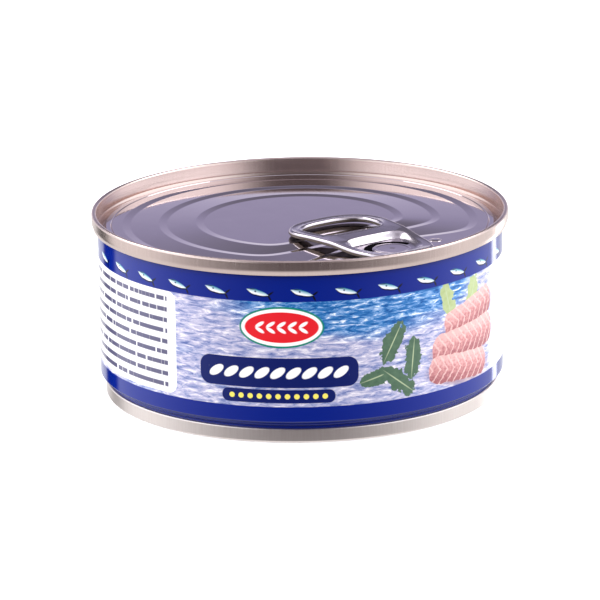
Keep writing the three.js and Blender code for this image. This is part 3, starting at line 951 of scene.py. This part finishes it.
def lacquered_panel():
    """Lacquered tinplate of the lid's panel: lilac grey, nearly a mirror, with fine dust specks."""
    material, tree = begin_material("lacquered lid tinplate")
    place = add(tree, "ShaderNodeTexCoord", {})
    flat = add(tree, "ShaderNodeVectorMath", {
        0: place.outputs["Object"], 1: (1 / MM, 1 / MM, 0),
    }, operation="MULTIPLY")
    cloud = add(tree, "ShaderNodeTexNoise", {"Vector": flat, "Scale": 1 / LACQUER_CLOUD_SIZE, "Detail": 4.0})
    tone = add(tree, "ShaderNodeMix", {
        "Factor": cloud, "A": linear("#D2C7CC"), "B": linear("#DDD3D6"),
    }, data_type="RGBA")
    speck_place = add(tree, "ShaderNodeTexVoronoi", {"Vector": flat, "Scale": LACQUER_SPECKS_PER_MM})
    speck = add(tree, "ShaderNodeMapRange", {
        "Value": speck_place, "From Min": 0.05, "From Max": 0.03,
    })
    tone = lay_ink(tree, tone, linear("#F4F0F4"), speck)
    satin = add(tree, "ShaderNodeMapRange", {"Value": cloud, "To Min": 0.04, "To Max": 0.08})
    shader = add(tree, "ShaderNodeBsdfPrincipled", {
        "Base Color": tone, "Metallic": 1.0, "Roughness": satin,
    })
    add(tree, "ShaderNodeOutputMaterial", {"Surface": shader})
    return material


def rolled_tinplate(name, dark, pale, smooth, rough):
    """Rolled tinplate of the pull and the base: plain metal with a faint grain and soft highlights."""
    material, tree = begin_material(name)
    place = add(tree, "ShaderNodeTexCoord", {})
    grain_place = add(tree, "ShaderNodeMapping", {
        "Vector": place.outputs["Object"],
        "Rotation": (0, 0, PULL_AZIMUTH),
        "Scale": [size * MM for size in ROLLING_GRAIN_SIZE],
    }, vector_type="TEXTURE")
    grain = add(tree, "ShaderNodeTexNoise", {"Vector": grain_place, "Scale": 1.0, "Detail": 3.0})
    tone = add(tree, "ShaderNodeMix", {
        "Factor": grain, "A": linear(dark), "B": linear(pale),
    }, data_type="RGBA")
    satin = add(tree, "ShaderNodeMapRange", {"Value": grain, "To Min": smooth, "To Max": rough})
    shader = add(tree, "ShaderNodeBsdfPrincipled", {
        "Base Color": tone, "Metallic": 1.0, "Roughness": satin,
    })
    add(tree, "ShaderNodeOutputMaterial", {"Surface": shader})
    return material


def slot_painted_shade():
    """Near-black matt finish for the slot: painted shade in its opening, where no light comes back."""
    material, tree = begin_material("painted shade of the slot")
    shader = add(tree, "ShaderNodeBsdfPrincipled", {
        "Base Color": linear("#0A090C"), "Roughness": 0.8, "Specular IOR Level": 0.0,
    })
    add(tree, "ShaderNodeOutputMaterial", {"Surface": shader})
    return material


# The can

wall = wall_piece()
dress(wall, "printed_tinplate", printed_tinplate())
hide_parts("can_body")

seam_finish = seam_tinplate("seam-rolled lid tinplate", "#CCB9B3", "#DDCAC5", 0.2, 0.3)
inner_finish = seam_tinplate("drawn inner tinplate", "#CCB9B3", "#D8C5C0", 0.16, 0.24)
panel_finish = lacquered_panel()
lid = lid_piece()
dress(lid, "lid_metal", seam_finish, inner_finish, panel_finish)
finish_lid(lid)
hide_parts("lid")
dress(rivet_piece(), "lid_metal", panel_finish)
for name, side in (("stop_right", 1), ("stop_left", -1)):
    dress(stop_piece(name, side), "lid_metal", panel_finish)

pull = pull_piece()
pull_finish = rolled_tinplate("bright pull tinplate", "#C2B9C3", "#CFC7CF", 0.16, 0.21)
# Darker, rougher copy of the pull's tinplate for its downward faces: painted shade under the pull.
underside_painted_shade = rolled_tinplate("underside tinplate darkened as painted shade", "#5C544E", "#6E665E", 0.4, 0.5)
dress(pull, "pull_metal", pull_finish, underside_painted_shade, slot_painted_shade())
finish_pull(pull)
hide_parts("ring_pull")

base = base_piece()
# Seam tinplate made paler and rougher than the lid's: its own tone plus a painted reflection of the bright
# floor beside the base.
base_seam_tone_and_painted_reflection = seam_tinplate("seam-rolled base tinplate with painted reflection", "#E2D6D2", "#F0E8E5", 0.3, 0.4)
base_panel_finish = rolled_tinplate("rolled base tinplate", "#C6BCBC", "#D4CBCB", 0.22, 0.3)
dress(base, "base_metal", base_seam_tone_and_painted_reflection, base_panel_finish)
finish_base(base)
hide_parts("base_end")


# Floor, lights and camera

FLOOR_RADIUS = 3.0
FLOOR_POINTS = 96
TABLE_GAP_TOWARDS = (-0.62, 0.74, -0.27)
CAMERA_AIM_HEIGHT = 19
CAMERA_ELEVATION = radians(15.68)
CAMERA_DISTANCE = 1.0
CAMERA_ROLL = radians(-0.827)
CAMERA_LENS = 287.85
CAMERA_SENSOR_WIDTH = 36
CAMERA_SHIFT = (-0.0016, -0.0044)

# Lights: azimuth and elevation in degrees, distance and size in metres, radiance, seen in the metals or not
LIGHTS = [
    ("left_softbox", -125, 43, 0.65, (0.4, 0.36), 2.6, True),
    ("right_softbox", 118, 48, 0.65, (0.4, 0.36), 2.6, True),
    ("right_strip", 140, -15.7, 0.6, (0.08, 0.2), 3.6, True),
    ("left_fill", -95, 30, 0.65, (0.9, 0.5), 4.5, False),
    ("right_fill", 95, 30, 0.65, (0.9, 0.5), 4.5, False),
    ("front_fill", 0, 35, 0.9, (0.8, 0.5), 2.7, False),
]


def floor_material():
    """Matt white paper sweep."""
    material, tree = begin_material("white paper")
    shader = add(tree, "ShaderNodeBsdfPrincipled", {"Base Color": linear("#F8F8FA"), "Roughness": 0.9})
    add(tree, "ShaderNodeOutputMaterial", {"Surface": shader})
    return material


def floor():
    """Round pale floor that only the camera sees; the metals mirror the surroundings instead."""
    bpy.ops.object.select_all(action="DESELECT")
    bpy.ops.mesh.primitive_circle_add(vertices=FLOOR_POINTS, radius=FLOOR_RADIUS, fill_type="NGON")
    disc = bpy.context.active_object
    disc.name = "floor"
    disc.data.materials.append(floor_material())
    disc.visible_glossy = False
    disc.visible_diffuse = False


def softbox(name, azimuth, elevation, distance, size, radiance, mirrored):
    """Soft area light that faces the can; its azimuth runs from the front to the right."""
    aim = Vector((0, 0, CAN_TOP / 2 * MM))
    turn = radians(azimuth)
    lift = radians(elevation)
    away = Vector((sin(turn) * cos(lift), -cos(turn) * cos(lift), sin(lift)))
    bpy.ops.object.light_add(type="AREA", location=aim + away * distance)
    light = bpy.context.active_object
    light.name = name
    light.visible_camera = False
    light.visible_glossy = mirrored
    light.rotation_euler = (-away).to_track_quat("-Z", "Y").to_euler()
    light.data.shape = "RECTANGLE"
    light.data.size, light.data.size_y = size
    light.data.energy = radiance * pi * size[0] * size[1]


def studio():
    """Surroundings: a table darker towards the camera, a lilac wall paler low and overhead, bright sides."""
    world = bpy.data.worlds.new("studio")
    bpy.context.scene.world = world
    world.use_nodes = True
    tree = world.node_tree
    tree.nodes.clear()
    place = add(tree, "ShaderNodeTexCoord", {})
    axes = add(tree, "ShaderNodeSeparateXYZ", {"Vector": place.outputs["Generated"]})
    beside = add(tree, "ShaderNodeMapRange", {
        "Value": axes.outputs["Y"], "From Min": -0.97, "From Max": 0.1,
    })
    below = add(tree, "ShaderNodeMapRange", {
        "Value": axes.outputs["Z"], "From Min": -0.32, "From Max": -0.7, "To Max": 0.9,
    })
    paler = add(tree, "ShaderNodeMath", {0: beside, 1: below}, operation="MAXIMUM")
    table = add(tree, "ShaderNodeMix", {
        "Factor": paler, "A": linear("#585155"), "B": linear("#FFFFFF"),
    }, data_type="RGBA")
    towards_gap = add(tree, "ShaderNodeVectorMath", {
        0: place.outputs["Generated"], 1: TABLE_GAP_TOWARDS,
    }, operation="DOT_PRODUCT")
    gap = add(tree, "ShaderNodeMapRange", {
        "Value": towards_gap.outputs["Value"], "From Min": 0.984, "From Max": 0.994,
    })
    table = lay_ink(tree, table, linear("#201C22"), gap)
    wall = shades(
        tree, axes.outputs["Z"],
        (0.10, "#F4F0FF"), (0.18, "#BFBAD7"), (0.27, "#A29DBC"), (0.35, "#807C90"), (0.42, "#6C6874"),
        (0.60, "#827E8A"), (0.96, "#E4E0EA"),
    )
    camera_side = add(tree, "ShaderNodeMapRange", {
        "Value": axes.outputs["Y"], "From Min": -0.2, "From Max": -0.7,
    })
    wall = lay_ink(tree, wall, linear("#6E686C"), camera_side)
    across = add(tree, "ShaderNodeMath", {0: axes.outputs["X"]}, operation="ABSOLUTE")
    behind = add(tree, "ShaderNodeMapRange", {"Value": axes.outputs["Y"], "To Max": -0.3})
    beyond = add(tree, "ShaderNodeMath", {0: across, 1: behind}, operation="ADD")
    side = add(tree, "ShaderNodeMapRange", {
        "Value": beyond, "From Min": 0.22, "From Max": 0.85,
    }, interpolation_type="SMOOTHSTEP")
    horizon = add(tree, "ShaderNodeMapRange", {
        "Value": axes.outputs["Z"], "From Min": -0.03, "From Max": 0.03,
    })
    table_light = add(tree, "ShaderNodeBackground", {"Color": table, "Strength": 1.1})
    wall_light = add(tree, "ShaderNodeBackground", {"Color": wall, "Strength": 1.0})
    side_light = add(tree, "ShaderNodeBackground", {"Color": linear("#FAFCFF"), "Strength": 1.8})
    upper = add(tree, "ShaderNodeMixShader", {0: side, 1: wall_light, 2: side_light})
    light = add(tree, "ShaderNodeMixShader", {0: horizon, 1: table_light, 2: upper})
    add(tree, "ShaderNodeOutputWorld", {"Surface": light})


floor()
for light in LIGHTS:
    softbox(*light)
studio()

aim = Vector((0, 0, CAMERA_AIM_HEIGHT * MM))
away = Vector((0, -cos(CAMERA_ELEVATION), sin(CAMERA_ELEVATION)))
bpy.ops.object.camera_add(location=aim + away * CAMERA_DISTANCE)
camera = bpy.context.active_object
facing = (-away).to_track_quat("-Z", "Y").to_matrix() @ Matrix.Rotation(CAMERA_ROLL, 3, "Z")
camera.rotation_euler = facing.to_euler()
camera.data.lens = CAMERA_LENS
camera.data.sensor_width = CAMERA_SENSOR_WIDTH
camera.data.shift_x, camera.data.shift_y = CAMERA_SHIFT
bpy.context.scene.camera = camera
bpy.context.scene.view_settings.view_transform = "Standard"
